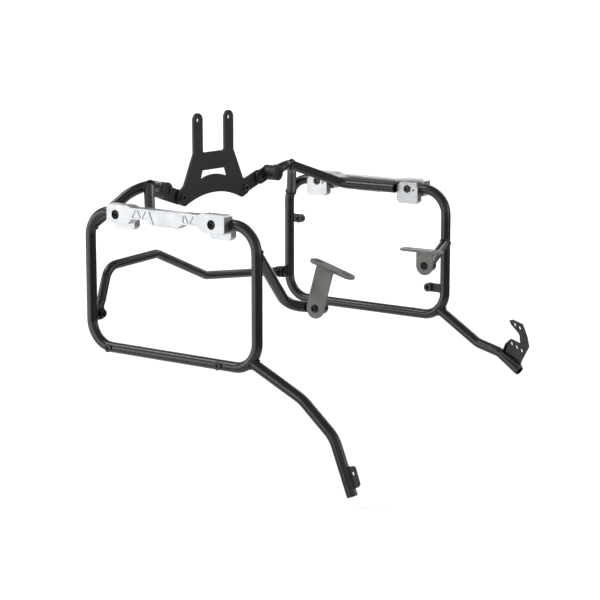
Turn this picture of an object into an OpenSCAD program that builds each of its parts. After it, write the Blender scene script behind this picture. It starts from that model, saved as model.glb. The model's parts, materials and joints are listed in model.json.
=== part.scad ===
// Pannier frame for a motorbike: two welded tube loops carried by a rear bridge plate,
// two front brackets, two lower struts and a rear crossbar, with bolted aluminium case rails.
// X points forward, Y to the rider's left, Z up. The origin lies midway between the two
// holes of the bridge plate's prongs, in the middle of the plate.

/* [Tube] */
// Outer diameter of the loop, arm and strut tube
tube_d = 18; // [16:0.5:20]
// Wall of all the tube
tube_wall = 2; // [1.5:0.5:3]
// Centre-line radius of the loop's bends
bend_r = 45; // [35:1:55]
// Centre-line radius of the bends in arms, braces and struts
arm_bend_r = 30; // [26:1:34]

/* [Side loops] */
// Loop length between the centre lines of its upright tubes
loop_len = 358; // [330:1:390]
// Loop height between the centre lines of its level tubes
loop_h = 234; // [215:1:260]
// Distance between the centre planes of the two loops
loop_spread = 570; // [540:2:610]
// How far the rear uprights lie behind the bridge plate
loop_back = 40; // [34:1:48]
// How far the top tubes lie below the prong holes
loop_drop = 137; // [130:1:150]

/* [Case rail] */
// Distance between the two rail bolts
rail_bolt_pitch = 206; // [190:1:216]
// Width of each end block and of each inner jaw
block_w = 46; // [42:1:50]
// How far the rail sits ahead of the middle between its bolts
rail_shift = 4; // [0:1:6]
// Height of the end blocks above the tube's centre line
block_up = 17; // [15:0.5:20]
// Depth of the end blocks below the tube's centre line
block_down = 14; // [12:0.5:16]
// How far the rail's face stands out from the tube's centre plane
rail_out = 22; // [19:0.5:25]
// Depth of the jaws below the tube's centre line
jaw_down = 27; // [24:0.5:30]
// How far the jaws' face stands in from the tube's centre plane
jaw_in = 15; // [13:0.5:17]
// Gap left between rail and jaw, so that they grip the tube
jaw_gap = 2; // [1:0.25:3]
// Depth of the relief in the rail's face
relief = 1.2; // [0.6:0.1:1.8]

/* [Bridge plate] */
// Thickness of the bridge plate, the link plates and the arm lugs
plate_t = 5; // [4:0.5:6]
// Distance between the two prong holes
prong_pitch = 88; // [80:1:96]
// Width of each prong
prong_w = 25; // [22:0.5:28]
// Diameter of the prong holes
prong_hole = 8.5; // [6.5:0.5:10.5]
// How far each lower bridge bolt lies inside the axis of the arm's boss
bridge_bolt_in = 69; // [65:1:73]

/* [Crossbar] */
// Outer diameter of the crossbar tube
bar_d = 16; // [14:0.5:18]
// How far the crossbar's bolts lie below the top tubes
bar_drop = 183; // [170:1:190]
// How far the crossbar's centre line lies behind the rear uprights
bar_back = 12; // [11:0.5:14]

/* [Front brackets] */
// Thickness of the folded brackets
bracket_t = 4; // [3:0.5:5]
// Width of the brackets' upright strip
strip_w = 34; // [30:1:38]
// Length of the brackets' top flange
flange_len = 88; // [80:1:96]
// Width of the brackets' top flange
flange_w = 30; // [26:1:34]
// Nose-down tilt of the right bracket
right_tilt = 16; // [10:1:20]

/* [Fasteners] */
// Thread diameter of the frame bolts
bolt_d = 8; // [6:1:10]
// Clearance added to a bolt's diameter for its hole
hole_play = 0.5; // [0.3:0.1:1]
// Gap between machined faces that fit each other
fit = 0.15; // [0.1:0.05:0.25]

/* [Hidden] */
$fn = 48;

tube_r = tube_d / 2;
half = loop_spread / 2;
rear_x = -loop_back;
front_x = rear_x + loop_len;
top_z = -loop_drop;
base_z = top_z - loop_h;
mid_x = rear_x + loop_len / 2;
hole_d = bolt_d + hole_play;
nut_af = bolt_d * 1.6 + 0.2;
nut_h = bolt_d * 0.8;
head_d = bolt_d * 1.75;
head_h = bolt_d * 0.55;
black = "#1c1b19";
alloy = "#d9dadb";
steel = "#2b2b2a";

// Sides of a swept tube and the angle between its rings in a bend
sides = 20;
bend_step = 12;

// Vector helpers for the tube paths
function unit(v) = v / norm(v);
function turn(a, b) = acos(max(-1, min(1, a * b)));
function trim(p, i, r) = (i <= 0 || i >= len(p) - 1) ? 0
    : r * tan(turn(unit(p[i] - p[i - 1]), unit(p[i + 1] - p[i])) / 2);

// A round bar of diameter d from point a to point b
module rod(a, b, d) {
    v = b - a;
    translate(a)
        rotate([0, acos(v[2] / norm(v)), atan2(v[1], v[0])])
            cylinder(d = d, h = norm(v));
}

// The bend at point b between the runs from a and to c
module bend(a, b, c, d, r) {
    u = unit(b - a);
    w = unit(c - b);
    n = unit(w - (u * w) * u);
    z = cross(-n, u);
    o = b - u * r * tan(turn(u, w) / 2) + n * r;
    multmatrix([[-n[0], u[0], z[0], o[0]], [-n[1], u[1], z[1], o[1]], [-n[2], u[2], z[2], o[2]]])
        rotate_extrude(angle = turn(u, w), $fn = 96)
            translate([r, 0])
                circle(d = d, $fn = 48);
}

// A bar of diameter d along the points p, with bends of radius r
module path(p, d, r) {
    for (i = [0 : len(p) - 2]) {
        u = unit(p[i + 1] - p[i]);
        rod(p[i] + u * trim(p, i, r), p[i + 1] - u * trim(p, i + 1, r), d);
    }
    for (i = [1 : len(p) - 2])
        bend(p[i - 1], p[i], p[i + 1], d, r);
}

// The same path as a tube with open ends
module pipe(p, d, r) {
    difference() {
        path(p, d, r);
        path(p, d - 2 * tube_wall, r);
    }
}

// Points along the path p, with each bend rounded to radius r in steps of about bend_step
function arc_points(a, b, c, r) = let (
        u = unit(b - a),
        w = unit(c - b),
        n = unit(w - (u * w) * u),
        g = turn(u, w),
        o = b - u * r * tan(g / 2) + n * r,
        m = max(2, ceil(g / bend_step)))
    [for (k = [0 : m]) o + r * (u * sin(g * k / m) - n * cos(g * k / m))];
function rounded(p, r) = concat([p[0]],
    [for (i = [1 : 1 : len(p) - 2]) each arc_points(p[i - 1], p[i], p[i + 1], r)], [p[len(p) - 1]]);

// Directions and cross axes at the points q, each axis carried on from the last one
function way(q, i) = unit(q[min(i + 1, len(q) - 1)] - q[max(i - 1, 0)]);
function square_to(a, t) = unit(a - (a * t) * t);
function axes(q, i, a) = i == len(q) ? []
    : let (b = square_to(a, way(q, i))) concat([b], axes(q, i + 1, b));
function ring(c, t, a, r) = [for (k = [0 : sides - 1])
    c + r * (a * cos(360 * k / sides) + cross(t, a) * sin(360 * k / sides))];

// A round tube swept along the path p, hollow if its wall w is above 0
module swept(p, d, r, w = 0) {
    q = rounded(p, r);
    m = len(q);
    ax = axes(q, 0, [0.31, 0.17, 0.93]);
    flat = 1 / cos(180 / sides);
    outer = [for (i = [0 : m - 1]) each ring(q[i], way(q, i), ax[i], d / 2 * (1 + flat) / 2)];
    inner = [for (i = [0 : m - 1]) each ring(q[i], way(q, i), ax[i], (d / 2 - w) * (1 + flat) / 2)];
    next = function (k) (k + 1) % sides;
    skin = [for (i = [0 : m - 2]) for (k = [0 : sides - 1])
        [i * sides + k, i * sides + next(k), (i + 1) * sides + next(k), (i + 1) * sides + k]];
    lining = [for (f = skin) [f[3] + m * sides, f[2] + m * sides, f[1] + m * sides, f[0] + m * sides]];
    last = (m - 1) * sides;
    rims = [for (k = [0 : sides - 1]) each [
        [next(k), k, k + m * sides, next(k) + m * sides],
        [last + k, last + next(k), last + next(k) + m * sides, last + k + m * sides]]];
    caps = [[for (k = [sides - 1 : -1 : 0]) k], [for (k = [0 : sides - 1]) last + k]];
    if (w > 0)
        polyhedron(concat(outer, inner), concat([for (f = skin) flip(f)], [for (f = lining) flip(f)],
            [for (f = rims) flip(f)]), convexity = 8);
    else
        polyhedron(outer, concat([for (f = skin) flip(f)], [for (f = caps) flip(f)]), convexity = 8);
}

function flip(f) = [for (k = [len(f) - 1 : -1 : 0]) f[k]];

// What is drawn on the right (-Y) is mirrored for the left
module on_side(s) {
    if (s == "left")
        mirror([0, 1, 0])
            children();
    else
        children();
}

// A hole or pin along Y, centred on the point p
module y_pin(p, d, h) {
    translate(p)
        rotate([90, 0, 0])
            cylinder(d = d, h = h, center = true);
}

// A hole or pin along X, centred on the point p
module x_pin(p, d, h) {
    translate(p)
        rotate([0, 90, 0])
            cylinder(d = d, h = h, center = true);
}

// Points on an arc about c, from angle a0 to a1 in n steps
function arc_2d(c, r, a0, a1, n) = [for (k = [0 : n])
    let (a = a0 + (a1 - a0) * k / n) c + r * [cos(a), sin(a)]];

// A flat link with round ends about the points a and b
module link_2d(a, b, r) {
    g = atan2(b[1] - a[1], b[0] - a[0]);
    polygon(concat(arc_2d(b, r, g - 90, g + 90, 24), arc_2d(a, r, g + 90, g + 270, 24)));
}

// Stands a drawing of (y, z) upright at x, with thickness t towards +X
module yz_plate(x, t) {
    translate([x, 0, 0])
        rotate([90, 0, 90])
            linear_extrude(t)
                children();
}

// Stands a drawing of (x, z) upright at y, with thickness t towards +Y
module xz_plate(y, t) {
    translate([0, y + t, 0])
        rotate([90, 0, 0])
            linear_extrude(t)
                children();
}

// Side loops
loop_path = [[mid_x, -half, base_z], [rear_x, -half, base_z], [rear_x, -half, top_z],
    [front_x, -half, top_z], [front_x, -half, base_z], [mid_x, -half, base_z]];
rail_bolt_x = [mid_x - rail_bolt_pitch / 2, mid_x + rail_bolt_pitch / 2];
insert_x = [rear_x + bend_r - 2, front_x - bend_r - 30];
insert_d = 11;
insert_flange = 15;

module loop_solid() {
    path(loop_path, tube_d, bend_r);
}

module loop() {
    difference() {
        pipe(loop_path, tube_d, bend_r);
        for (x = rail_bolt_x)
            y_pin([x, -half, top_z], hole_d, 2 * tube_d);
        for (x = insert_x)
            y_pin([x, -half - tube_r, base_z], insert_d, tube_d);
    }
}

module right_loop() {
    color(black) loop();
}

module left_loop() {
    color(black) on_side("left") loop();
}

// Threaded inserts in the bottom tube, for a case's lower catch
module loop_inserts() {
    for (x = insert_x) {
        difference() {
            union() {
                y_pin([x, -half - tube_r + 2.2, base_z], insert_d - 2 * fit, 8);
                y_pin([x, -half - tube_r - 1, base_z], insert_flange, 2);
            }
            y_pin([x, -half - tube_r, base_z], 6, tube_d);
        }
    }
}

module right_loop_inserts() {
    color(steel) loop_inserts();
}

module left_loop_inserts() {
    color(steel) on_side("left") loop_inserts();
}

// Rear arms: up and inward from the rear upright, then to a lug beside the bridge plate
foot_rise = 18;
arm_foot = [rear_x + bend_r * (1 - cos(asin(foot_rise / bend_r))), -half, top_z - bend_r + foot_rise];
arm_scale = half / 285;
arm_rise = [rear_x + 42, -half + 49 * arm_scale, top_z + 24];
arm_corner = [rear_x + 70, -half + 78 * arm_scale, top_z + 46];
arm_crown = [rear_x + 64, -half + 79 * arm_scale, top_z + 40];
crown_r = 45;
lug_y = half - 125 * arm_scale;
lug_z = top_z + 25;
lug_face = plate_t / 2;
boss_d = 28;
boss_len = 30;
boss_mid = [boss_len / 2 - lug_face, -lug_y, lug_z];
arm_path = [arm_foot + 4 * unit(arm_rise - arm_foot), arm_rise, arm_corner, boss_mid + 8 * unit(arm_corner - boss_mid)];

module arm_boss() {
    x_pin(boss_mid, boss_d, boss_len);
}

module rear_arm() {
    difference() {
        swept(arm_path, tube_d, crown_r, tube_wall);
        loop_solid();
        arm_boss();
    }
}

module right_rear_arm() {
    color(black) rear_arm();
}

module left_rear_arm() {
    color(black) on_side("left") rear_arm();
}

// Arm lugs: a plate bolted to the link, with a round boss that takes the arm's end
link_bolt = [-lug_y + 22, lug_z - 7];

module arm_lug() {
    difference() {
        union() {
            yz_plate(-plate_t / 2, plate_t)
                link_2d(link_bolt, [-lug_y, lug_z], boss_d / 2 - 1);
            arm_boss();
        }
        x_pin([0, link_bolt[0], link_bolt[1]], hole_d, 3 * plate_t);
        x_pin([boss_len - lug_face, -lug_y, lug_z], 14, 4);
    }
}

module right_arm_lug() {
    color(black) arm_lug();
}

module left_arm_lug() {
    color(black) on_side("left") arm_lug();
}

// Top braces: from the arm's apex out to the top tube, where they turn ahead of the rear rail bolt
// and run along its inner side
brace_y = -half + tube_d - 1;
right_brace_turn = 44;
left_brace_turn = 64;

module top_brace(turn_x) {
    corner = [rail_bolt_x[0] + turn_x, brace_y, top_z];
    ahead = [mid_x + rail_bolt_pitch / 2 - block_w / 2 - 2, brace_y, top_z];
    difference() {
        swept([arm_crown + 3 * unit(corner - arm_crown) - [0, 0, 4], corner, ahead], tube_d, arm_bend_r, tube_wall);
        loop_solid();
        swept(arm_path, tube_d, crown_r);
    }
}

module right_top_brace() {
    color(black) top_brace(right_brace_turn);
}

module left_top_brace() {
    color(black) on_side("left") top_brace(left_brace_turn);
}

// Front arms carry the front brackets: the right one drops lower than the left one
front_bolt_x = rear_x + 385;
right_bolt = [front_bolt_x, -half + 134, top_z - 147];
left_bolt = [front_bolt_x, half - 102, top_z - 121];
eye_t = tube_d + 1;
eye_r = 12;
plug_depth = 16;

right_arm_turn = right_bolt - [51, 20, 0];
right_arm_foot = [front_x, -half, top_z - 42];
left_arm_foot = [front_x, half, top_z - 95];

module right_front_arm() {
    root = right_arm_foot + 4 * unit(right_arm_turn - right_arm_foot);
    color(black)
        difference() {
            union() {
                swept([root, right_arm_turn, right_bolt - [4, 1.6, 0]], tube_d, arm_bend_r, tube_wall);
                y_pin(right_bolt, 2 * eye_r, eye_t);
            }
            y_pin(right_bolt, hole_d, 2 * tube_d);
            y_pin(right_bolt - [0, eye_t / 2 + tube_d, 0], strip_w + 4, 2 * tube_d);
            loop_solid();
        }
}

// The left arm's end is closed by a plug with a threaded hole
module left_front_arm() {
    root = left_arm_foot + 4 * unit(left_bolt - left_arm_foot);
    color(black)
        difference() {
            union() {
                swept([root, left_bolt + [-1, 4, 0]], tube_d, arm_bend_r, tube_wall);
                y_pin(left_bolt, 2 * eye_r, eye_t);
            }
            y_pin(left_bolt - [0, eye_t / 2, 0], hole_d, 2 * plug_depth);
            on_side("left") loop_solid();
        }
}

// Folded brackets: an upright strip with a slotted flange turned inward at its top
right_strip_h = 72;
left_strip_h = 32;
flange_shift = 4;
slot_len = 16;
slot_w = 7;
fold_r = bracket_t + 2;

// The bracket about its bolt: the strip's face at y = 0 to bracket_t, the flange towards +Y
module folded_bracket(h) {
    difference() {
        union() {
            xz_plate(0, bracket_t) {
                circle(d = strip_w);
                translate([-strip_w / 2, 0])
                    square([strip_w, h - fold_r]);
            }
            translate([-strip_w / 2, fold_r, h - fold_r])
                rotate([90, 0, 90])
                    linear_extrude(strip_w)
                        intersection() {
                            difference() {
                                circle(r = fold_r);
                                circle(r = fold_r - bracket_t);
                            }
                            translate([-fold_r, 0])
                                square(fold_r);
                        }
            translate([0, 0, h - bracket_t])
                linear_extrude(bracket_t)
                    difference() {
                        union() {
                            translate([-strip_w / 2, fold_r])
                                square([strip_w, flange_w - fold_r]);
                            translate([flange_shift, (flange_w + fold_r) / 2])
                                slot_2d(flange_len, flange_w - fold_r);
                        }
                        for (x = [-1, 1])
                            translate([flange_shift + x * (flange_len - flange_w) / 2, (flange_w + fold_r) / 2])
                                slot_2d(slot_len, slot_w);
                    }
        }
        y_pin([0, 0, 0], hole_d, 3 * bracket_t);
    }
}

// A slot with round ends, of full length l along X
module slot_2d(l, w) {
    for (x = [-1, 1])
        translate([x * (l - w) / 2, 0])
            circle(d = w);
    square([l - w, w], center = true);
}

module right_bracket() {
    color("#4a4a48")
        translate(right_bolt + [0, -eye_t / 2 - bracket_t, 0])
            rotate([0, right_tilt, 0])
                folded_bracket(right_strip_h);
}

module left_bracket() {
    color("#3a3a38")
        translate(left_bolt - [0, eye_t / 2, 0])
            mirror([0, 1, 0])
                folded_bracket(left_strip_h);
}

// Lower struts: forward and down from the loop's front lower corner
corner = [front_x - bend_r * (1 - cos(45)), -half, base_z + bend_r * (1 - cos(45))];
strut_end_y = half - 23;
strut_end_x = rear_x + 530;
right_strut_path = [corner, [front_x + 82, -half + 11, base_z - 38], [front_x + 139, -half + 19, base_z - 94],
    [strut_end_x, -strut_end_y, base_z - 186]];
left_strut_path = [[corner[0], half, corner[2]], [front_x + 78, half - 8, base_z - 39],
    [front_x + 128, half - 15, base_z - 49], [strut_end_x + 2, strut_end_y, base_z - 76]];

module right_strut() {
    color(black)
        difference() {
            swept(right_strut_path, tube_d, 2 * arm_bend_r, tube_wall);
            loop_solid();
        }
}

module left_strut() {
    color(black)
        difference() {
            swept(left_strut_path, tube_d, arm_bend_r, tube_wall);
            on_side("left") loop_solid();
        }
}

// Lug on the right strut's end, and a claw-shaped plate with small slots on the left strut's end
lug_t = 5;
right_end = right_strut_path[3];
right_lean = atan2(right_end[0] - right_strut_path[2][0], right_strut_path[2][2] - right_end[2]);
left_end = left_strut_path[3];

module right_strut_lug() {
    color(black)
        difference() {
            translate(right_end)
                rotate([0, -right_lean, 0])
                    difference() {
                        xz_plate(-lug_t / 2, lug_t)
                            polygon([[4, 12], [17, 12], [21, 16], [21, 44], [18, 47], [4, 47]]);
                        y_pin([14.5, 0, 35], 6.5, 2 * lug_t);
                    }
            swept(right_strut_path, tube_d, 2 * arm_bend_r);
        }
}

module left_strut_plate() {
    color(black)
        difference() {
            union() {
                xz_plate(left_end[1] - lug_t / 2, lug_t)
                    translate([left_end[0], left_end[2]])
                        difference() {
                            polygon([[-38, 26], [-29, 47], [-18.5, 56.5], [1.6, 50], [0.2, 64.5], [-3, 69.5],
                                [-17, 82], [-22, 90], [-16, 92], [4.5, 86], [14, 64.5], [18.5, 46],
                                [3.5, 17], [0, 4]]);
                            for (p = [[-10.7, 83.5], [-0.5, 78.5], [-16.3, 48.2], [-6, 42.9], [4.3, 37.6]])
                                translate(p)
                                    rotate(-62)
                                        slot_2d(7, 4.5);
                        }
                xz_plate(left_end[1] - 9, 9)
                    translate([left_end[0], left_end[2]])
                        polygon([[-36, 30], [-34, 34], [6, 11], [4, 7]]);
            }
            swept(left_strut_path, tube_d, arm_bend_r);
        }
}

// Tabs on the rear uprights that take the crossbar's ends
bar_bolt_y = half - 21;
bar_bolt_z = top_z - bar_drop;
tab_t = 4;
paddle_t = 5;

module crossbar_tab() {
    difference() {
        yz_plate(rear_x - tab_t / 2, tab_t)
            link_2d([-half, bar_bolt_z], [-bar_bolt_y, bar_bolt_z], 11);
        loop_solid();
        translate([rear_x - tube_d, -half - 2 * tube_d, bar_bolt_z - tube_d])
            cube([2 * tube_d, 2 * tube_d, 2 * tube_d]);
        x_pin([rear_x, -bar_bolt_y, bar_bolt_z], hole_d, 4 * tab_t);
    }
}

module right_crossbar_tab() {
    color(black) crossbar_tab();
}

module left_crossbar_tab() {
    color(black) on_side("left") crossbar_tab();
}

// Crossbar: a bent tube with a flattened paddle at each end, raised on the right
bar_x = rear_x - bar_back;
paddle_x = rear_x - tab_t / 2 - paddle_t;
bar_points = [[-half + 36, bar_bolt_z + 18], [-half + 56, bar_bolt_z + 76], [-half + 186, bar_bolt_z + 82],
    [-half + 325, bar_bolt_z + 23], [half - 42, bar_bolt_z + 2]];
bar_path = [for (p = bar_points) [bar_x, p[0], p[1]]];

module crossbar() {
    color(black)
        difference() {
            union() {
                swept(bar_path, bar_d, arm_bend_r, tube_wall);
                yz_plate(paddle_x, paddle_t)
                    link_2d([-bar_bolt_y, bar_bolt_z], bar_points[0], 11);
                yz_plate(paddle_x, paddle_t)
                    link_2d([bar_bolt_y, bar_bolt_z], bar_points[4], 11);
            }
            for (s = [-1, 1])
                x_pin([paddle_x, s * bar_bolt_y, bar_bolt_z], hole_d, 8 * paddle_t);
        }
}

// Tabs with a threaded boss inside the left loop
tab_boss_d = 16;
tab_boss_len = 14;

module boss_tab(x, z, reach) {
    difference() {
        union() {
            xz_plate(half - tab_t / 2, tab_t)
                link_2d([x, z], [x + reach, z], tab_boss_d / 2);
            y_pin([x + reach, half, z], tab_boss_d, tab_boss_len);
        }
        y_pin([x + reach, half, z], 6.8, 2 * tab_boss_len);
        on_side("left") loop_solid();
        translate([x - sign(reach) * tube_d - tube_d, half - tube_d, z - tube_d])
            cube(2 * tube_d);
    }
}

module left_rear_tab() {
    color(black) boss_tab(rear_x, top_z - 78, 25);
}

module left_front_tab() {
    color(black) boss_tab(front_x, top_z - 182, -34);
}

// Bridge plate: two prongs, a waisted body with a window, and an arched lower edge
waist_z = -59;
hip_z = -114;
foot_z = top_z - 14;
prong_y = prong_pitch / 2;
prong_r = prong_w / 2;
bridge_bolt_y = lug_y - bridge_bolt_in * arm_scale;
hip_y = bridge_bolt_y - 7;
bridge_bolt_z = top_z + 3;

function mirrored(p) = [for (k = [len(p) - 1 : -1 : 0]) [-p[k][0], p[k][1]]];
crotch_r = 4;
bridge_side = concat([[hip_y - 2, foot_z]],
    arc_2d([bridge_bolt_y, bridge_bolt_z], 13, -60, 50, 8),
    [[hip_y, hip_z], [prong_y + prong_r, waist_z]],
    arc_2d([prong_y, 0], prong_r, 0, 180, 14),
    arc_2d([prong_y - prong_r - crotch_r, waist_z + crotch_r], crotch_r, 0, -90, 4));

module bridge_outline() {
    polygon(concat(bridge_side, mirrored(bridge_side)));
}

module bridge_plate() {
    color(black)
        yz_plate(-plate_t / 2, plate_t)
            difference() {
                bridge_outline();
                for (s = [-1, 1]) {
                    translate([s * prong_y, 0])
                        circle(d = prong_hole);
                    translate([s * bridge_bolt_y, bridge_bolt_z])
                        circle(d = hole_d);
                }
                translate([0, top_z - 196])
                    circle(r = 200, $fn = 180);
                difference() {
                    polygon([[-33, top_z + 46], [33, top_z + 46], [40, top_z + 27], [-40, top_z + 27]]);
                    translate([0, top_z - 61])
                        circle(r = 98, $fn = 180);
                }
            }
}

// Link plates behind the bridge plate and the arm lugs
module link_plate() {
    difference() {
        yz_plate(-plate_t / 2 - plate_t, plate_t)
            link_2d([-bridge_bolt_y, bridge_bolt_z], link_bolt, 13);
        x_pin([-plate_t, -bridge_bolt_y, bridge_bolt_z], hole_d, 3 * plate_t);
        x_pin([-plate_t, link_bolt[0], link_bolt[1]], hole_d, 3 * plate_t);
    }
}

module right_link_plate() {
    color(black) link_plate();
}

module left_link_plate() {
    color(black) on_side("left") link_plate();
}

// Case rail: a milled bar outside the top tube, its end blocks saddled on the tube
rail_face = -half - rail_out;
beam_up = 14;
beam_down = 5;
pad_w = 76;
pad_foot = 52;
pad_down = 13;
slope_w = 9;
rail_half = rail_bolt_pitch / 2 + block_w / 2;
block_in = rail_bolt_pitch / 2 - block_w / 2;
rail_back = rail_out - jaw_gap / 2;
rib_w = 3;
cell_w = 22;

rail_side = [[pad_foot / 2, -pad_down], [pad_w / 2, -beam_down], [block_in - slope_w, -beam_down],
    [block_in, -block_down], [rail_half - 3, -block_down], [rail_half, -block_down + 3],
    [rail_half, block_up - 3], [rail_half - 3, block_up], [block_in, block_up],
    [block_in - slope_w, beam_up]];

module rail_outline() {
    polygon(concat(rail_side, [for (k = [len(rail_side) - 1 : -1 : 0]) [-rail_side[k][0], rail_side[k][1]]]));
}

// Triangular pockets between diagonal ribs, on one half of the beam's face
module truss_2d() {
    x0 = pad_w / 2 + 2;
    n = floor((block_in - slope_w - x0) / cell_w * 2);
    intersection() {
        translate([x0, -beam_down + 3])
            square([block_in - slope_w - x0, beam_up + beam_down - 6]);
        for (k = [0 : n])
            translate([x0 + k * cell_w / 2, (beam_up - beam_down) / 2])
                rotate(k % 2 == 0 ? 0 : 180)
                    polygon([[-cell_w / 2 + rib_w, -7.5], [cell_w / 2 - rib_w, -7.5], [0, 7.5]]);
    }
}

module rail() {
    difference() {
        translate([mid_x + rail_shift, 0, top_z])
            difference() {
                xz_plate(rail_face, rail_back)
                    rail_outline();
                for (s = [0, 1])
                    mirror([s, 0, 0])
                        xz_plate(rail_face - 1, 1 + relief)
                            truss_2d();
                xz_plate(rail_face - 1, 1 + relief)
                    polygon([[-pad_w / 2 + 5, beam_up - 3], [pad_w / 2 - 5, beam_up - 3],
                        [pad_foot / 2 - 2, -pad_down + 3], [-pad_foot / 2 + 2, -pad_down + 3]]);
            }
        rod([rear_x, -half, top_z], [front_x, -half, top_z], tube_d + 2 * fit);
        for (x = rail_bolt_x) {
            y_pin([x, -half - rail_out / 2, top_z], hole_d, 2 * rail_out);
            y_pin([x, rail_face, top_z], head_d + 2, 2 * (head_h + 1));
        }
    }
}

module right_rail() {
    color(alloy) rail();
}

module left_rail() {
    color(alloy) on_side("left") rail();
}

// Inner jaws: they clamp the top tube against the rail, with a hexagon pocket for the nut
jaw_t = jaw_in - jaw_gap / 2;

module jaw(x) {
    y = -half + jaw_gap / 2;
    difference() {
        translate([x, 0, top_z])
            xz_plate(y, jaw_t)
                polygon([[-block_w / 2 + 8, 12], [block_w / 2 - 8, 12], [block_w / 2, 2],
                    [block_w / 2, -jaw_down + 5], [block_w / 2 - 5, -jaw_down], [-block_w / 2 + 5, -jaw_down],
                    [-block_w / 2, -jaw_down + 5], [-block_w / 2, 2]]);
        rod([rear_x, -half, top_z], [front_x, -half, top_z], tube_d + 2 * fit);
        y_pin([x, -half, top_z], hole_d, 4 * jaw_in);
        translate([x, -half + jaw_in + 1, top_z])
            rotate([90, 30, 0])
                cylinder(d = (nut_af + 2 * fit) / cos(30), h = nut_h - 1, $fn = 6);
        y_pin([x + 14, -half + jaw_in, top_z - 2], 4, 6);
    }
}

module right_rear_jaw() {
    color(alloy) jaw(rail_bolt_x[0]);
}

module right_front_jaw() {
    color(alloy) jaw(rail_bolt_x[1]);
}

module left_rear_jaw() {
    color(alloy) on_side("left") jaw(rail_bolt_x[0]);
}

module left_front_jaw() {
    color(alloy) on_side("left") jaw(rail_bolt_x[1]);
}

// A button-head bolt along its own Z: the head's underside at 0, the shank downwards
module button_bolt(l) {
    difference() {
        union() {
            translate([0, 0, -l])
                cylinder(d = bolt_d, h = l);
            rotate_extrude()
                polygon([[0, 0], [head_d / 2, 0], [head_d / 2, head_h * 0.3], [head_d * 0.36, head_h * 0.8],
                    [head_d * 0.2, head_h], [0, head_h]]);
        }
        translate([0, 0, head_h * 0.35])
            cylinder(d = bolt_d * 0.62 / cos(30), h = head_h, $fn = 6);
    }
}

// A hexagon nut along its own Z, its seat at 0
module hex_nut() {
    difference() {
        cylinder(d = nut_af / cos(30), h = nut_h, $fn = 6);
        translate([0, 0, -1])
            cylinder(d = bolt_d + 0.1, h = nut_h + 2);
    }
}

module rail_bolts() {
    color(steel)
        for (s = ["right", "left"])
            on_side(s)
                for (x = rail_bolt_x)
                    translate([x, rail_face + head_h + 1, top_z])
                        rotate([90, 0, 0])
                            button_bolt(rail_out + jaw_in - head_h - 1);
}

module rail_nuts() {
    color(steel)
        for (s = ["right", "left"])
            on_side(s)
                for (x = rail_bolt_x)
                    translate([x, -half + jaw_in + 2 - nut_h, top_z])
                        rotate([-90, 30, 0])
                            hex_nut();
}

module bridge_bolts() {
    color(steel)
        for (s = [-1, 1])
            translate([plate_t / 2, s * bridge_bolt_y, bridge_bolt_z])
                rotate([0, 90, 0])
                    button_bolt(2 * plate_t + nut_h + 1);
}

module bridge_nuts() {
    color(steel)
        for (s = [-1, 1])
            translate([-1.5 * plate_t, s * bridge_bolt_y, bridge_bolt_z])
                rotate([0, -90, 0])
                    hex_nut();
}

module link_bolts() {
    color(steel)
        for (s = [-1, 1])
            translate([plate_t / 2, s * link_bolt[0], link_bolt[1]])
                rotate([0, 90, 0])
                    button_bolt(2 * plate_t + nut_h + 1);
}

module link_nuts() {
    color(steel)
        for (s = [-1, 1])
            translate([-1.5 * plate_t, s * link_bolt[0], link_bolt[1]])
                rotate([0, -90, 0])
                    hex_nut();
}

module crossbar_bolts() {
    color(steel)
        for (s = [-1, 1])
            translate([paddle_x, s * bar_bolt_y, bar_bolt_z])
                rotate([0, -90, 0])
                    button_bolt(paddle_t + tab_t + nut_h + 1);
}

module crossbar_nuts() {
    color(steel)
        for (s = [-1, 1])
            translate([rear_x + tab_t / 2, s * bar_bolt_y, bar_bolt_z])
                rotate([0, 90, 0])
                    hex_nut();
}

module bracket_bolts() {
    color(steel) {
        translate(right_bolt - [0, eye_t / 2 + bracket_t, 0])
            rotate([90, 0, 0])
                button_bolt(eye_t + bracket_t + nut_h + 1);
        translate(left_bolt - [0, eye_t / 2 + bracket_t, 0])
            rotate([90, 0, 0])
                button_bolt(bracket_t + plug_depth - 2);
    }
}

module bracket_nut() {
    color(steel)
        translate(right_bolt + [0, eye_t / 2, 0])
            rotate([-90, 0, 0])
                hex_nut();
}

right_loop();
left_loop();
right_rear_arm();
left_rear_arm();
right_top_brace();
left_top_brace();
right_arm_lug();
left_arm_lug();
right_front_arm();
left_front_arm();
right_strut();
left_strut();
right_strut_lug();
left_strut_plate();
right_crossbar_tab();
left_crossbar_tab();
left_rear_tab();
left_front_tab();
crossbar();
bridge_plate();
right_link_plate();
left_link_plate();
right_rail();
left_rail();
right_rear_jaw();
right_front_jaw();
left_rear_jaw();
left_front_jaw();
right_bracket();
left_bracket();
rail_bolts();
rail_nuts();
bridge_bolts();
bridge_nuts();
link_bolts();
link_nuts();
crossbar_bolts();
crossbar_nuts();
bracket_bolts();
bracket_nut();
right_loop_inserts();
left_loop_inserts();
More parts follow.
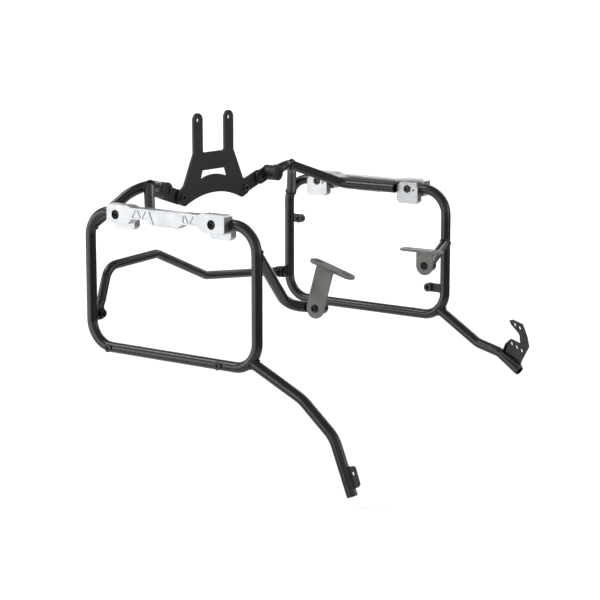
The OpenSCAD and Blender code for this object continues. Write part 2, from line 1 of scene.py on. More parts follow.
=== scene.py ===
import bpy
import json
import math
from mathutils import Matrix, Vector

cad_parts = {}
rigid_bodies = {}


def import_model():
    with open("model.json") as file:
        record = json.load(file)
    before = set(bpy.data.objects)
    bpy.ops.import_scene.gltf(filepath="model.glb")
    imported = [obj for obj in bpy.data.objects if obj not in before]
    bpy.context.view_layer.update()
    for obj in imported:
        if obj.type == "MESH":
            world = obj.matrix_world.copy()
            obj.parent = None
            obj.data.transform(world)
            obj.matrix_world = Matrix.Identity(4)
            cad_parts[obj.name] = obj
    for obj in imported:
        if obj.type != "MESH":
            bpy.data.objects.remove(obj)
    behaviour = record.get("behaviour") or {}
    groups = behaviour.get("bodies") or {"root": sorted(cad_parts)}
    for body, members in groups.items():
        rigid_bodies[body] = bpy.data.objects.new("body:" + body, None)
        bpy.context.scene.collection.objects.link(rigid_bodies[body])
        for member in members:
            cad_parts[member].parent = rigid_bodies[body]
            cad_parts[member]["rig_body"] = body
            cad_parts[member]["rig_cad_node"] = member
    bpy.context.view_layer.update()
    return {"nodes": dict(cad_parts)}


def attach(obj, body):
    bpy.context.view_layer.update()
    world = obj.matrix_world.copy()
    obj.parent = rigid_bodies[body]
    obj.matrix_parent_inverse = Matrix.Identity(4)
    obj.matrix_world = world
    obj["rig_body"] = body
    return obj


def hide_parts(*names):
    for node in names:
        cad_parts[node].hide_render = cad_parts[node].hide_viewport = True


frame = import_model()

# Side loops: one length of 18 mm round steel tube on each side, bent to a rounded
# rectangle and butt welded under the bottom. Black polyester powder coat over the
# phosphated steel: nearly black, semi-gloss, with a fine orange peel.

TUBE = 0.018
TUBE_R = TUBE / 2
WALL = 0.002
BEND_R = 0.045
# Centre lines of the loops: half their spacing, top, bottom, rear and front
HALF, TOP, BASE, REAR, FRONT = 0.285, -0.137, -0.371, -0.040, 0.318
BUTT_X = 0.139


def hex_rgb(value):
    """An sRGB hex colour as linear red, green, blue and alpha."""
    parts = [int(value[k:k + 2], 16) / 255 for k in (1, 3, 5)]
    return [p / 12.92 if p <= 0.04045 else ((p + 0.055) / 1.055) ** 2.4 for p in parts] + [1.0]


def add_node(material, kind, inputs=None, **settings):
    """Adds one shader node; an input is a value or another node's output socket."""
    node = material.node_tree.nodes.new(kind)
    for key, value in settings.items():
        setattr(node, key, value)
    for key, value in (inputs or {}).items():
        if isinstance(value, bpy.types.NodeSocket):
            material.node_tree.links.new(value, node.inputs[key])
        else:
            node.inputs[key].default_value = value
    return node


def new_finish(name):
    """A new material and its shader, ready for the nodes of one finish."""
    material = bpy.data.materials.new(name)
    material.use_nodes = True
    return material, material.node_tree.nodes["Principled BSDF"]


def powder_coat(name, dark, light, rough_low, rough_high, peel_mm, peel_depth):
    """Baked polyester powder: colour drifts a little, gloss is broken by orange peel."""
    coat, shader = new_finish(name)
    place = add_node(coat, "ShaderNodeTexCoord").outputs["Object"]
    # The coat's thickness drifts over about 26 mm, so 38 to the metre
    drift = add_node(coat, "ShaderNodeTexNoise", {"Vector": place, "Scale": 38.0, "Detail": 4.0})
    tint = add_node(coat, "ShaderNodeValToRGB", {"Fac": drift.outputs["Fac"]})
    tint.color_ramp.elements[0].position = 0.35
    tint.color_ramp.elements[1].position = 0.68
    tint.color_ramp.elements[0].color = hex_rgb(dark)
    tint.color_ramp.elements[1].color = hex_rgb(light)
    # Its gloss clouds where the powder flowed, over about 6 mm, so 160 to the metre
    cloud = add_node(coat, "ShaderNodeTexNoise", {"Vector": place, "Scale": 160.0, "Detail": 3.0})
    gloss = add_node(coat, "ShaderNodeMapRange", {
        "Value": cloud.outputs["Fac"], "From Min": 0.3, "From Max": 0.7,
        "To Min": rough_low, "To Max": rough_high})
    peel = add_node(coat, "ShaderNodeTexNoise", {
        "Vector": place, "Scale": 1000.0 / peel_mm, "Detail": 2.0})
    relief = add_node(coat, "ShaderNodeBump", {
        "Height": peel.outputs["Fac"], "Strength": 0.06, "Distance": peel_depth})
    links = coat.node_tree.links
    links.new(tint.outputs["Color"], shader.inputs["Base Color"])
    links.new(gloss.outputs["Result"], shader.inputs["Roughness"])
    links.new(relief.outputs["Normal"], shader.inputs["Normal"])
    shader.inputs["IOR"].default_value = 1.5
    return coat


# Round tube under semi-gloss powder: nearly black, with one long grey highlight down each
# run. The peel of a real coat is about 1 mm across, drawn at 3 mm so that it shows.
tube_coat = powder_coat("semi-gloss black powder coat on tube", "#0d0c0b", "#171513",
                        0.25, 0.31, 3.0, 0.0001)


def dress(piece, material):
    """The piece has this one finish."""
    piece.data.materials.clear()
    piece.data.materials.append(material)


def fixed(piece, material, slot, *nodes):
    """The piece takes its finish, stands for its nodes and moves with the frame."""
    dress(piece, material)
    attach(piece, "root")
    if nodes:
        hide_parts(*nodes)


def mirrored(points, side):
    """Points given for the right side, on the side that is asked for."""
    return [Vector((p[0], p[1] * (-1 if side == "left" else 1), p[2])) for p in points]


def bent_tube(name, points, diameter, radius, sides=40):
    """Bends a tube as on a former: a ring is drawn straight, then spun round each centre."""
    points = [Vector(p) for p in points]
    bpy.ops.object.select_all(action="DESELECT")
    ahead = (points[1] - points[0]).normalized()
    bpy.ops.mesh.primitive_circle_add(vertices=sides, radius=diameter / 2, location=points[0],
                                      rotation=ahead.to_track_quat("Z", "Y").to_euler())
    tube = bpy.context.object
    tube.name = name
    bpy.ops.object.transform_apply(location=True, rotation=True, scale=True)
    bpy.ops.object.mode_set(mode="EDIT")
    bpy.ops.mesh.select_all(action="SELECT")
    at = points[0]
    for k in range(1, len(points)):
        into = (points[k] - points[k - 1]).normalized()
        last = k == len(points) - 1
        out = into if last else (points[k + 1] - points[k]).normalized()
        turn = 0.0 if last else into.angle(out)
        stop = points[k] - into * radius * math.tan(turn / 2)
        bpy.ops.mesh.extrude_edges_move(TRANSFORM_OT_translate={"value": stop - at})
        at = stop
        if not last:
            aside = (out - into * into.dot(out)).normalized()
            centre = stop + aside * radius
            bpy.ops.mesh.spin(steps=max(3, math.ceil(math.degrees(turn) / 5)), angle=-turn,
                              center=centre, axis=into.cross(out).normalized())
            at = centre + radius * (into * math.sin(turn) - aside * math.cos(turn))
    bpy.ops.mesh.select_all(action="SELECT")
    bpy.ops.mesh.remove_doubles(threshold=0.00001)
    bpy.ops.mesh.normals_make_consistent(inside=False)
    bpy.ops.object.mode_set(mode="OBJECT")
    skin = tube.modifiers.new("wall", "SOLIDIFY")
    skin.thickness = WALL
    skin.offset = -1.0
    bpy.ops.object.modifier_apply(modifier=skin.name)
    bpy.ops.object.shade_smooth_by_angle(angle=math.radians(40))
    return tube


# Round the right loop and back to its butt weld; the left loop mirrors it
loop_points = [(BUTT_X, -HALF, BASE), (REAR, -HALF, BASE), (REAR, -HALF, TOP),
               (FRONT, -HALF, TOP), (FRONT, -HALF, BASE), (BUTT_X, -HALF, BASE)]
for side in ("right", "left"):
    loop = bent_tube(side + "_loop_tube", mirrored(loop_points, side), TUBE, BEND_R, sides=48)
    fixed(loop, tube_coat, "tube_coat", side + "_loop")

# Rear arms and top braces: the same tube, cold bent. Each arm rises from the loop's rear
# bend, turns over and down to a boss beside the bridge plate; each brace leaves the arm
# near its crown and lies along the inside of the top tube. Both are welded all round.

BOSS_R = 0.014
BRACE_BEND_R = 0.030
BRACE_Y = -0.268
FILLET = 0.0021
RIPPLES = 28


def rounded_route(points, radius):
    """The route through points with each corner turned on a bend of the given radius."""
    step = math.radians(6)
    route = [points[0]]
    for before, corner, after in zip(points, points[1:], points[2:]):
        into, out = (corner - before).normalized(), (after - corner).normalized()
        turn = into.angle(out)
        aside = (out - into * into.dot(out)).normalized()
        centre = corner - into * radius * math.tan(turn / 2) + aside * radius
        count = max(2, math.ceil(turn / step))
        for k in range(count + 1):
            a = turn * k / count
            route.append(centre + radius * (into * math.sin(a) - aside * math.cos(a)))
    return route + [points[-1]]


def gap_to(route, point):
    """Distance from a point to the nearest stretch of a route."""
    best = 1.0
    for a, b in zip(route, route[1:]):
        run = b - a
        t = max(0.0, min(1.0, (point - a).dot(run) / max(run.length_squared, 1e-12)))
        best = min(best, (point - a - run * t).length)
    return best


def weld_round(name, foot, away, seat, seat_r=TUBE_R):
    """A rippled bead where a branch of the tube meets the round seat along a route."""
    away = away.normalized()
    around, ring = 112, 10
    bpy.ops.object.select_all(action="DESELECT")
    bpy.ops.mesh.primitive_torus_add(major_segments=around, minor_segments=ring,
                                     major_radius=TUBE_R, minor_radius=FILLET, location=foot,
                                     rotation=away.to_track_quat("Z", "Y").to_euler())
    bead = bpy.context.object
    bead.name = name
    bpy.ops.object.transform_apply(location=True, rotation=True, scale=True)
    spots = [v.co.copy() for v in bead.data.vertices]
    # Each ring slides along the branch: in from 30 mm out until it is inside the seat,
    # then by halving to the seat's skin, so that the bead follows the coped end
    hop = 0.0015
    tries = [0.030 - hop * n for n in range(40)]
    for k in range(0, len(spots), ring):
        middle = sum(spots[k:k + ring], Vector()) / ring
        inside = [t for t in tries if gap_to(seat, middle + away * t) <= seat_r]
        low = inside[0] if inside else min(tries, key=lambda t: gap_to(seat, middle + away * t))
        high = low + hop if inside else low
        for _ in range(8):
            half_way = (low + high) / 2
            if gap_to(seat, middle + away * half_way) > seat_r:
                high = half_way
            else:
                low = half_way
        swell = 1.0 + 0.2 * math.cos(2 * math.pi * RIPPLES * (k / ring) / around)
        for m in range(k, k + ring):
            proud = away * (high + FILLET * 0.3)
            bead.data.vertices[m].co = middle + (spots[m] - middle) * swell + proud
    bpy.ops.object.shade_smooth()
    return bead


# The same powder over a weld bead: it is a shade lighter and less even, so the ripples
# catch small broken glints. The peel is drawn at 1.5 mm.
weld_coat = powder_coat("powder coat over weld bead", "#0f0e0d", "#1c1a18",
                        0.26, 0.36, 1.5, 0.0001)

arm_points = [(-0.03624, -HALF, -0.164), (0.002, -0.236, -0.113), (0.030, -0.207, -0.091),
              (0.0125, -0.160, -0.112)]
boss_axis = [(-0.0025, -0.160, -0.112), (0.0275, -0.160, -0.112)]
loop_route = {side: rounded_route(mirrored(loop_points, side), BEND_R)
              for side in ("right", "left")}
# The left brace meets its top tube 20 mm further forward than the right one
for side, corner_x in (("right", 0.080), ("left", 0.100)):
    arm = mirrored(arm_points, side)
    arm_route = rounded_route(arm, BEND_R)
    fixed(bent_tube(side + "_arm_tube", arm, TUBE, BEND_R), tube_coat, "tube_coat",
          side + "_rear_arm")
    fixed(weld_round(side + "_arm_foot_weld", arm[0], arm[1] - arm[0], loop_route[side]),
          weld_coat, "tube_coat")
    fixed(weld_round(side + "_arm_boss_weld", arm[3], arm[2] - arm[3],
                     mirrored(boss_axis, side), BOSS_R), weld_coat, "tube_coat")
    brace = mirrored([(0.026, -0.208, -0.102), (corner_x, BRACE_Y, TOP),
                      (0.217, BRACE_Y, TOP)], side)
    fixed(bent_tube(side + "_brace_tube", brace, TUBE, BRACE_BEND_R), tube_coat, "tube_coat",
          side + "_top_brace")
    fixed(weld_round(side + "_brace_weld", brace[0], brace[1] - brace[0], arm_route),
          weld_coat, "tube_coat")

# Front arms: the right one swings in and down to an eye drilled for the bracket bolt,
# the left one runs in level and ends in a threaded plug. Same tube and coat, and each
# foot is coped and welded to the front upright.


def edged_copy(node, name, edge, angle=32):
    """A copy of a CAD node with its loose triangles joined and its edges broken."""
    bpy.ops.object.select_all(action="DESELECT")
    copy = frame["nodes"][node].copy()
    copy.data = copy.data.copy()
    copy.parent = None
    # The copy is a new piece, so it drops the marks of the CAD node
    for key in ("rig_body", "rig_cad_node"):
        if key in copy:
            del copy[key]
    bpy.context.scene.collection.objects.link(copy)
    copy.name = name
    copy.select_set(True)
    bpy.context.view_layer.objects.active = copy
    bpy.ops.object.mode_set(mode="EDIT")
    bpy.ops.mesh.select_all(action="SELECT")
    bpy.ops.mesh.remove_doubles(threshold=0.00002)
    bpy.ops.mesh.dissolve_limited(angle_limit=math.radians(1.0))
    bpy.ops.object.mode_set(mode="OBJECT")
    broken = copy.modifiers.new("edges", "BEVEL")
    broken.width = edge
    broken.segments = 2
    broken.limit_method = "ANGLE"
    broken.angle_limit = math.radians(angle)
    broken.use_clamp_overlap = False
    bpy.ops.object.modifier_apply(modifier=broken.name)
    bpy.ops.object.shade_smooth_by_angle(angle=math.radians(35))
    even = copy.modifiers.new("even", "WEIGHTED_NORMAL")
    even.keep_sharp = True
    bpy.ops.object.modifier_apply(modifier=even.name)
    return copy


# Where each arm stands on its upright, and the first point that it runs towards
front_arm_foot = {"right": (FRONT, -HALF, -0.179), "left": (FRONT, HALF, -0.232)}
front_arm_bend = {"right": (0.294, -0.171, -0.284), "left": (0.344, 0.187, -0.258)}
for side in ("right", "left"):
    fixed(edged_copy(side + "_front_arm", side + "_front_arm_tube", edge=0.0004),
          tube_coat, "tube_coat", side + "_front_arm")
    foot, bend = Vector(front_arm_foot[side]), Vector(front_arm_bend[side])
    fixed(weld_round(side + "_front_arm_weld", foot, bend - foot, loop_route[side]),
          weld_coat, "tube_coat")

# Lower struts: they leave the loops' front lower bends and run forward and down to the
# footrest hangers. The tube's end is cut square and stays open, with the coat inside.

strut_points = {
    "right": [(0.30482, -HALF, -0.35782), (0.400, -0.274, -0.409), (0.457, -0.266, -0.465),
              (0.490, -0.262, -0.557)],
    "left": [(0.30482, HALF, -0.35782), (0.396, 0.277, -0.410), (0.446, 0.270, -0.420),
             (0.492, 0.262, -0.447)],
}
strut_bend_r = {"right": 0.060, "left": 0.030}
for side in ("right", "left"):
    strut = [Vector(p) for p in strut_points[side]]
    fixed(bent_tube(side + "_strut_tube", strut, TUBE, strut_bend_r[side]), tube_coat,
          "tube_coat", side + "_strut")
    fixed(weld_round(side + "_strut_weld", strut[0], strut[1] - strut[0], loop_route[side]),
          weld_coat, "tube_coat")

# Crossbar: a 16 mm tube bent three times, with each end pressed flat into a round-nosed
# paddle and screwed with an 8 mm bolt to a tab on the rear upright. The bolt's head and
# the tab cover the paddle's hole, so it isn't cut here.

BAR = 0.016
BAR_BEND_R = 0.030
PADDLE_W, PADDLE_T = 0.022, 0.005
# The press sets the paddle this far ahead of the bar's centre line, on to the tab's face
PADDLE_SET = 0.0075
# Shares of an end's length: where it is fully flat, and where its round nose starts
FLAT_FROM, NOSE_FROM = 0.55, 0.62


def pressed_end(name, start, run):
    """A ring drawn out along run and pressed step by step to a flat paddle."""
    reach, along = run.length, run.normalized()
    bpy.ops.mesh.primitive_circle_add(vertices=40, radius=BAR / 2, location=start,
                                      rotation=along.to_track_quat("Z", "Y").to_euler())
    paddle = bpy.context.object
    bpy.ops.object.transform_apply(location=True, rotation=True, scale=True)
    bpy.ops.object.mode_set(mode="EDIT")
    bpy.ops.mesh.select_all(action="SELECT")
    for _ in range(10):
        bpy.ops.mesh.extrude_edges_move(TRANSFORM_OT_translate={"value": along * reach / 10})
    bpy.ops.object.mode_set(mode="OBJECT")
    across = along.cross(Vector((1, 0, 0))).normalized()
    for v in paddle.data.vertices:
        s = max(0.0, min(1.0, (v.co - start).dot(along) / reach))
        press = min(1.0, s / FLAT_FROM)
        press = press * press * (3 - 2 * press)
        middle = start + along * (reach * s)
        beside, deep = (v.co - middle).dot(across), (v.co - middle).x
        wide = beside * (1 + (PADDLE_W / BAR - 1) * press)
        if press > 0:
            angle = math.atan2(deep, beside)
            square = abs(math.sin(angle)) ** (1 - 0.85 * press)
            square = math.copysign(min(1.0, square), deep)
            deep = BAR / 2 * (1 - press) * math.sin(angle) + press * square * PADDLE_T / 2
        if s > NOSE_FROM:
            tip = (s - NOSE_FROM) / (1 - NOSE_FROM)
            wide *= math.sqrt(max(0.0, 1 - tip * tip))
        v.co = middle + across * wide + Vector((deep + PADDLE_SET * press, 0, 0))
    bpy.ops.object.mode_set(mode="EDIT")
    bpy.ops.mesh.select_all(action="SELECT")
    bpy.ops.mesh.remove_doubles(threshold=0.0001)
    bpy.ops.mesh.normals_make_consistent(inside=False)
    bpy.ops.object.mode_set(mode="OBJECT")
    bpy.ops.object.shade_smooth_by_angle(angle=math.radians(50))
    paddle.name = name
    return paddle


bar_x = -0.052
bar_points = [Vector((bar_x, -0.249, -0.302)), Vector((bar_x, -0.229, -0.244)),
              Vector((bar_x, -0.099, -0.238)), Vector((bar_x, 0.040, -0.297)),
              Vector((bar_x, 0.243, -0.318))]
bar = bent_tube("crossbar_tube", bar_points, BAR, BAR_BEND_R)
bpy.ops.object.select_all(action="DESELECT")
for k, start, run in ((0, bar_points[0], Vector((0, -0.0215, -0.0258))),
                      (1, bar_points[-1], Vector((0, 0.032, -0.003)))):
    fixed(pressed_end(f"crossbar_tube_paddle_{k}", start, run), tube_coat, "tube_coat")
fixed(bar, tube_coat, "tube_coat", "crossbar")

# Cut plates: bridge plate, link plates, arm lugs, tabs, strut lug and claw plate. Laser
# cut from 4 and 5 mm steel sheet, edges broken, powder coated flat black.

# On flat sheet the powder is satin: a deep even black with only a broad dull sheen.
# The peel is drawn at 1.8 mm.
plate_coat = powder_coat("satin black powder coat on plate", "#0c0b0a", "#151311",
                         0.46, 0.58, 1.8, 0.00012)

for node in ("bridge_plate", "right_link_plate", "left_link_plate", "right_arm_lug",
             "left_arm_lug", "right_strut_lug", "left_strut_plate", "right_crossbar_tab",
             "left_crossbar_tab", "left_rear_tab", "left_front_tab"):
    fixed(edged_copy(node, node + "_cut", edge=0.0004), plate_coat, "plate_coat", node)

# Seams of the tabs, the strut's lug and the claw plate: short fillet welds laid by hand on
# both faces, so each shows as a row of overlapping puddles under the coat.

PUDDLE_PITCH = 0.0016
# A seam lies this far from the middle of its plate, and this far out on the tube
BESIDE_PLATE, ON_TUBE = 0.0024, 0.0086


def joined_row(first, places, name):
    """What was modelled once is copied to each place, and the row becomes one piece."""
    row = [first]
    for place in places:
        copy = first.copy()
        copy.data = first.data.copy()
        copy.location = place
        bpy.context.scene.collection.objects.link(copy)
        row.append(copy)
    for copy in row:
        copy.select_set(True)
    bpy.ops.object.join()
    piece = bpy.context.object
    piece.name = name
    bpy.ops.object.transform_apply(location=True, rotation=True, scale=True)
    bpy.ops.object.shade_smooth()
    return piece


def weld_seam(name, start, finish):
    """A row of puddles along a straight joint."""
    start, run = Vector(start), Vector(finish) - Vector(start)
    count = max(2, round(run.length / PUDDLE_PITCH))
    bpy.ops.object.select_all(action="DESELECT")
    bpy.ops.mesh.primitive_uv_sphere_add(segments=14, ring_count=8, radius=FILLET,
                                         location=start)
    return joined_row(bpy.context.object,
                      [start + run * k / count for k in range(1, count + 1)], name)


seams = []
for y in (-0.2766, 0.2766):
    for x in (REAR - BESIDE_PLATE, REAR + BESIDE_PLATE):
        seams.append(((x, y, -0.329), (x, y, -0.311)))
for y in (HALF - BESIDE_PLATE, HALF + BESIDE_PLATE):
    seams.append(((REAR + ON_TUBE, y, -0.222), (REAR + ON_TUBE, y, -0.208)))
    seams.append(((FRONT - ON_TUBE, y, -0.326), (FRONT - ON_TUBE, y, -0.312)))
# The strut's lug follows the slope of the strut's last run, from 13 to 46 mm up it
knee, end = strut_points["right"][-2:]
lean = math.atan2(end[0] - knee[0], knee[2] - end[2])
for y in (-0.2649, -0.2591):
    seams.append([(end[0] + ON_TUBE * math.cos(lean) - up * math.sin(lean), y,
                   end[2] + ON_TUBE * math.sin(lean) + up * math.cos(lean))
                  for up in (0.013, 0.046)])
# The claw plate has one seam, along the left strut on its inner face
seams.append(((0.4575, 0.2588, -0.4185), (0.4945, 0.2588, -0.4375)))
for k, (low, high) in enumerate(seams):
    fixed(weld_seam(f"weld_seam_{k}", low, high), weld_coat, "plate_coat")

# Front brackets: strips of 4 mm steel with a slotted flange folded over at the top. The
# coat is a dark grey that reads mid grey where the strip faces the light.

# Satin grey powder: the one mid grey on the frame, soft, even and without a highlight's
# edge. The peel is drawn at 1.8 mm.
bracket_coat = powder_coat("satin grey powder coat on folded strip", "#565652", "#686863",
                           0.36, 0.46, 1.8, 0.00012)
for side in ("right", "left"):
    fixed(edged_copy(side + "_bracket", side + "_bracket_folded", edge=0.0005),
          bracket_coat, "bracket_coat", side + "_bracket")

# Case rails and inner jaws: milled from aluminium bar, bead blasted and clear anodised.
# Each rail is saddled on its top tube, and two jaws with nut pockets clamp it there.


def blasted_alloy(name, low, high, rough_low, rough_high):
    """Blasted and anodised bar: an even pale grain over faint cutter lines along it."""
    alloy, shader = new_finish(name)
    place = add_node(alloy, "ShaderNodeTexCoord").outputs["Object"]
    # The anodising drifts in tone over about 22 mm, so 45 to the metre
    drift = add_node(alloy, "ShaderNodeTexNoise", {"Vector": place, "Scale": 45.0, "Detail": 5.0})
    tint = add_node(alloy, "ShaderNodeValToRGB", {"Fac": drift.outputs["Fac"]})
    tint.color_ramp.elements[0].position = 0.3
    tint.color_ramp.elements[1].position = 0.7
    tint.color_ramp.elements[0].color = hex_rgb(low)
    tint.color_ramp.elements[1].color = hex_rgb(high)
    # Cutter lines run along X: 50 mm long and 1.7 mm apart, drawn coarser than they are
    along = add_node(alloy, "ShaderNodeMapping", {"Vector": place, "Scale": (20.0, 600.0, 600.0)})
    cutter = add_node(alloy, "ShaderNodeTexNoise", {
        "Vector": along.outputs["Vector"], "Scale": 1.0, "Detail": 2.0})
    gloss = add_node(alloy, "ShaderNodeMapRange", {
        "Value": cutter.outputs["Fac"], "From Min": 0.3, "From Max": 0.7,
        "To Min": rough_low, "To Max": rough_high})
    # Blasting grit leaves pits of 0.1 mm, drawn at 0.7 mm so that they show
    grit = add_node(alloy, "ShaderNodeTexNoise", {"Vector": place, "Scale": 1400.0, "Detail": 2.0})
    relief = add_node(alloy, "ShaderNodeBump", {
        "Height": grit.outputs["Fac"], "Strength": 0.3, "Distance": 0.0002})
    links = alloy.node_tree.links
    links.new(tint.outputs["Color"], shader.inputs["Base Color"])
    links.new(gloss.outputs["Result"], shader.inputs["Roughness"])
    links.new(relief.outputs["Normal"], shader.inputs["Normal"])
    shader.inputs["Metallic"].default_value = 1.0
    return alloy


# The blasted skin spreads what it mirrors: nearly white towards the light, with a soft
# sheen that shows the relief and no sharp reflection.
rail_alloy = blasted_alloy("bead blasted anodised aluminium", "#a6a8aa", "#b4b6b8", 0.3, 0.42)
for node in ("right_rail", "left_rail"):
    fixed(edged_copy(node, node + "_milled", edge=0.0003), rail_alloy, "rail_alloy", node)
for node in ("right_rear_jaw", "right_front_jaw", "left_rear_jaw", "left_front_jaw"):
    fixed(edged_copy(node, node + "_milled", edge=0.0004), rail_alloy, "rail_alloy", node)

# Fasteners: 8 mm button-head bolts with hexagon sockets, plain hexagon nuts and threaded
# inserts, all of zinc plated and blackened steel, screwed up by hand.


def blackened_steel(name):
    """Zinc plate after its black dip: a dark metal with cloudy gloss."""
    zinc, shader = new_finish(name)
    place = add_node(zinc, "ShaderNodeTexCoord").outputs["Object"]
    # The dip clouds over about 4.5 mm, so 220 to the metre
    drift = add_node(zinc, "ShaderNodeTexNoise", {"Vector": place, "Scale": 220.0, "Detail": 4.0})
    tint = add_node(zinc, "ShaderNodeValToRGB", {"Fac": drift.outputs["Fac"]})
    tint.color_ramp.elements[0].position = 0.32
    tint.color_ramp.elements[1].position = 0.7
    tint.color_ramp.elements[0].color = hex_rgb("#2b2a29")
    tint.color_ramp.elements[1].color = hex_rgb("#474644")
    gloss = add_node(zinc, "ShaderNodeMapRange", {
        "Value": drift.outputs["Fac"], "From Min": 0.3, "From Max": 0.7,
        "To Min": 0.3, "To Max": 0.42})
    zinc.node_tree.links.new(tint.outputs["Color"], shader.inputs["Base Color"])
    zinc.node_tree.links.new(gloss.outputs["Result"], shader.inputs["Roughness"])
    shader.inputs["Metallic"].default_value = 1.0
    return zinc


# Blackened zinc looks like dark oiled steel: the rims and sockets glint against the coat
black_zinc = blackened_steel("blackened zinc on steel")
for node in ("rail_bolts", "rail_nuts", "bridge_bolts", "bridge_nuts", "link_bolts",
             "link_nuts", "crossbar_bolts", "crossbar_nuts", "bracket_bolts", "bracket_nut",
             "right_loop_inserts", "left_loop_inserts"):
    fixed(edged_copy(node, node + "_turned", edge=0.0003, angle=40), black_zinc,
          "fastener_steel", node)

# Threads cut in the tabs' bosses and in the inserts: coarse M8 and M6 crests just inside
# each mouth, bare where the tap has cut through the coat.

# Radius of the bore, pitch, and how many crests are drawn
M8_THREAD = (0.00345, 0.00125, 4)
M6_THREAD = (0.00305, 0.001, 5)
INSERT_MOUTH_Y = 0.2955


def cut_thread(name, mouth, inward, bore_r, pitch, turns):
    """One crest is modelled as a thin ring and copied down the bore."""
    bpy.ops.object.select_all(action="DESELECT")
    bpy.ops.mesh.primitive_torus_add(major_segments=36, minor_segments=6, major_radius=bore_r,
                                     minor_radius=pitch * 0.3, location=mouth,
                                     rotation=(math.pi / 2, 0, 0))
    return joined_row(bpy.context.object,
                      [Vector(mouth) + Vector(inward) * pitch * k for k in range(1, turns)], name)


for name, x, z in (("rear_tab", -0.015, -0.215), ("front_tab", 0.284, -0.319)):
    for face_y, way in ((0.2914, 1), (0.2786, -1)):
        fixed(cut_thread(f"{name}_thread_{way + 1}", (x, face_y, z), (0, -way, 0), *M8_THREAD),
              black_zinc, "fastener_steel")
for side, way in (("right", 1), ("left", -1)):
    for k, x in enumerate((0.003, 0.243)):
        fixed(cut_thread(f"{side}_insert_thread_{k}", (x, -way * INSERT_MOUTH_Y, BASE),
                         (0, way, 0), *M6_THREAD), black_zinc, "fastener_steel")

# Studio: seamless white paper under the strut's end, which runs out of sight and glows a
# little so that it stays white, a grey surround for the coat to mirror, and six soft
# boxes whose long reflections shape the black tube.

FLOOR_Z = -0.575
bpy.ops.object.select_all(action="DESELECT")
bpy.ops.mesh.primitive_plane_add(size=120, location=(0.1, 0, FLOOR_Z))
floor = bpy.context.object
floor.name = "studio_floor"
bpy.ops.object.transform_apply(location=True, rotation=True, scale=True)
paper, shader = new_finish("white studio paper")
grain = add_node(paper, "ShaderNodeTexNoise", {
    "Vector": add_node(paper, "ShaderNodeTexCoord").outputs["Object"],
    "Scale": 3.0, "Detail": 2.0})
tone = add_node(paper, "ShaderNodeValToRGB", {"Fac": grain.outputs["Fac"]})
tone.color_ramp.elements[0].color = hex_rgb("#b9b9bf")
tone.color_ramp.elements[1].color = hex_rgb("#bdbdc2")
paper.node_tree.links.new(tone.outputs["Color"], shader.inputs["Base Color"])
shader.inputs["Roughness"].default_value = 0.9
shader.inputs["Emission Color"].default_value = (1.0, 1.0, 1.0, 1.0)
# The glow is weaker near the frame, so that its shade on the paper still shows
spread = add_node(paper, "ShaderNodeVectorMath", {
    0: add_node(paper, "ShaderNodeTexCoord").outputs["Object"]}, operation="LENGTH")
glow = add_node(paper, "ShaderNodeMapRange", {
    "Value": spread.outputs["Value"], "From Min": 0.6, "From Max": 5.0,
    "To Min": 0.62, "To Max": 1.0})
paper.node_tree.links.new(glow.outputs["Result"], shader.inputs["Emission Strength"])
dress(floor, paper)
# The coat mirrors the surround below it and not the paper, which would wash it out
floor.visible_glossy = False

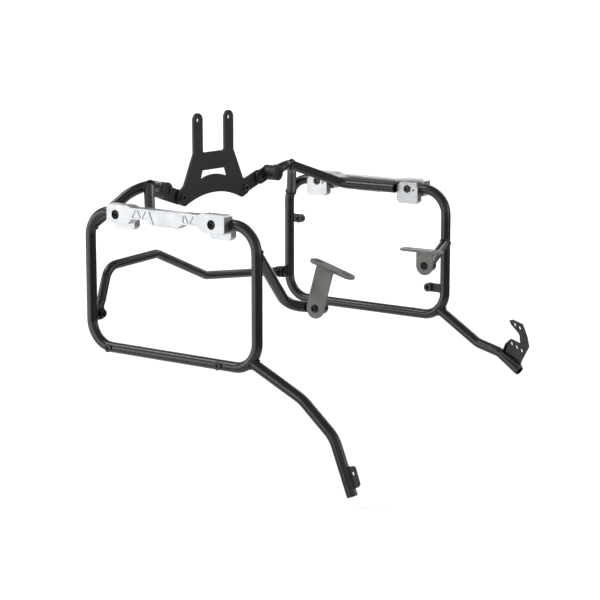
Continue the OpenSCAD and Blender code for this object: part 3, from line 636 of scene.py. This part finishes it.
# The surround by height, 0 straight down and 1 straight up: pale at the foot, dark to just
# below the horizon for the black of the tubes, bright behind the paper's edge, grey overhead
world = bpy.data.worlds.new("surround")
world.use_nodes = True
upward = add_node(world, "ShaderNodeSeparateXYZ", {
    "Vector": add_node(world, "ShaderNodeTexCoord").outputs["Generated"]})
height = add_node(world, "ShaderNodeMapRange", {
    "Value": upward.outputs["Z"], "From Min": -1.0, "From Max": 1.0})
sky = add_node(world, "ShaderNodeValToRGB", {"Fac": height.outputs["Result"]})
sky.color_ramp.elements[0].position = 0.22
sky.color_ramp.elements[0].color = (0.9, 0.9, 0.92, 1.0)
sky.color_ramp.elements[1].position = 0.80
sky.color_ramp.elements[1].color = (0.4, 0.4, 0.41, 1.0)
for at, shade in ((0.36, 0.1), (0.484, 0.1), (0.4915, 0.9), (0.60, 0.75)):
    sky.color_ramp.elements.new(at).color = (shade, shade, shade, 1.0)
world.node_tree.links.new(sky.outputs["Color"],
                          world.node_tree.nodes["Background"].inputs["Color"])
bpy.context.scene.world = world
# The photograph is a plain cut-out on white, which Blender's usual view turns grey
bpy.context.scene.view_settings.view_transform = "Standard"


def soft_box(name, place, target, width, height, power):
    """A rectangular lamp, turned to face its target."""
    lamp = bpy.data.lights.new(name, "AREA")
    lamp.shape = "RECTANGLE"
    lamp.size, lamp.size_y, lamp.energy = width, height, power
    box = bpy.data.objects.new(name, lamp)
    box.location = place
    box.rotation_euler = (Vector(target) - Vector(place)).to_track_quat("-Z", "Y").to_euler()
    bpy.context.scene.collection.objects.link(box)


# The two cards at the left draw the broad band down each upright tube and are what the
# rails' faces mirror; the high boxes light the flanges and the tops of the level tubes.
soft_box("card_near", (-0.25, -3.1, -0.35), (0.15, 0, -0.35), 1.0, 2.2, 21)
soft_box("card_left", (-2.1, -1.9, -0.35), (0.15, 0, -0.35), 3.0, 1.8, 38)
soft_box("card_back", (-1.6, 2.6, -0.3), (0.15, 0, -0.3), 2.8, 1.8, 26)
soft_box("high_left", (-1.5, -1.0, 1.9), (0.15, 0, -0.25), 1.3, 1.0, 26)
soft_box("high_back", (0.4, 2.3, 1.4), (0.1, 0, -0.25), 1.5, 0.8, 12)
soft_box("right_side", (2.8, 0.9, 0.3), (0.15, 0, -0.3), 0.8, 1.6, 12)

# Camera: fitted to 30 points of the photograph. It stands about 3.4 m from the middle of
# the frame, as far as a long lens needs, so the two loops look nearly parallel.

lens = bpy.data.cameras.new("photo_camera")
lens.sensor_width = 36.0
lens.lens = 112.85
camera = bpy.data.objects.new("photo_camera", lens)
bpy.context.scene.collection.objects.link(camera)
camera.location = (2.13021, -2.63763, 0.29844)
facing = Vector((-0.58168, 0.79256, -0.18310))
camera.rotation_euler = facing.to_track_quat("-Z", "Y").to_euler()
bpy.context.scene.camera = camera
